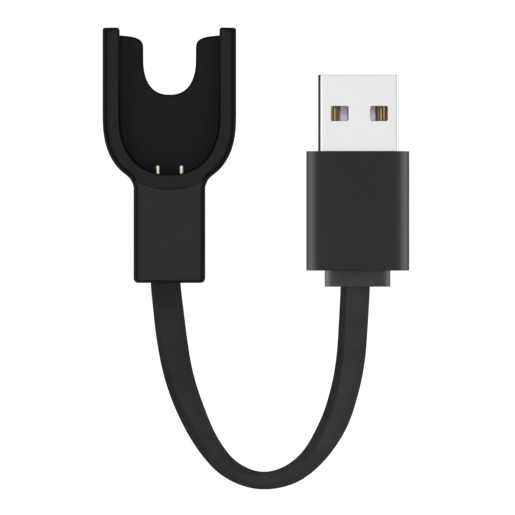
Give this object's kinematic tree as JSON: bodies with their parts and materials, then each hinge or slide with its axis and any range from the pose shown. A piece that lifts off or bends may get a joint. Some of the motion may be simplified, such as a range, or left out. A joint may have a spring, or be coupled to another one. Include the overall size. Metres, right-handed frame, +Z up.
{
  "type": "tracker charging lead",
  "caption": "Charging lead for a wrist tracker: a U-shaped cradle with spring pins in its end wall, a short flat cable with half a twist, and a USB-A plug.",
  "frame": {"origin": "under the middle of the cradle, on the surface the lead lies on", "axes": "+Y from the cradle's neck towards its open end, +Z up out of the recess, +X from the cradle towards the plug"},
  "size_m": [0.0456, 0.0695, 0.01],
  "materials": {
    "rim_plastic": "satin black moulding with softly rounded edges",
    "base_plastic": "dull, slightly warm black moulding",
    "insert_plastic": "dull black moulding",
    "pin_gold": "bright gold plating, polished dome",
    "barrel_brass": "plain turned brass",
    "spring_steel": "drawn wire",
    "board_green": "green solder mask",
    "wire_red": "red insulation",
    "wire_black": "black insulation",
    "cable_rubber": "smooth matt black cable sheath",
    "sleeve_plastic": "satin dark grey cover",
    "collar_plastic": "satin grey moulding",
    "shell_steel": "nickel-plated, smooth",
    "tongue_white": "white insulator with a faint blue cast",
    "contact_gold": "gold-plated spring contacts"
  },
  "bodies": {
    "lead": {"cradle_frame": "rim_plastic", "cradle_base": "base_plastic", "pin_block": "insert_plastic", "pogo_barrel_left": "barrel_brass", "pogo_barrel_right": "barrel_brass", "pogo_spring_left": "spring_steel", "pogo_spring_right": "spring_steel", "dock_board": "board_green", "dock_wire_positive": "wire_red", "dock_wire_negative": "wire_black", "dock_cable_clamp": "insert_plastic", "flat_cable": "cable_rubber", "plug_sleeve": "sleeve_plastic", "plug_inner_mould": "collar_plastic", "usb_shell": "shell_steel", "usb_tongue": "tongue_white", "usb_contact_power": "contact_gold", "usb_contact_data_minus": "contact_gold", "usb_contact_data_plus": "contact_gold", "usb_contact_ground": "contact_gold", "plug_wire_positive": "wire_red", "plug_wire_negative": "wire_black"},
    "plunger_left": {"pogo_plunger_left": "pin_gold"},
    "plunger_right": {"pogo_plunger_right": "pin_gold"}
  },
  "joints": [
    {"name": "pin_slide_left", "type": "slide", "parent": "lead", "child": "plunger_left", "axis": [0, -1, 0], "range_m": [0, 0.0008], "stiffness_N_per_m": 400, "springref_m": -0.0005, "deforming": ["pogo_spring_left"]},
    {"name": "pin_slide_right", "type": "slide", "parent": "lead", "child": "plunger_right", "axis": [0, -1, 0], "range_m": [0, 0.0008], "stiffness_N_per_m": 400, "springref_m": -0.0005, "deforming": ["pogo_spring_right"]}
  ]
}
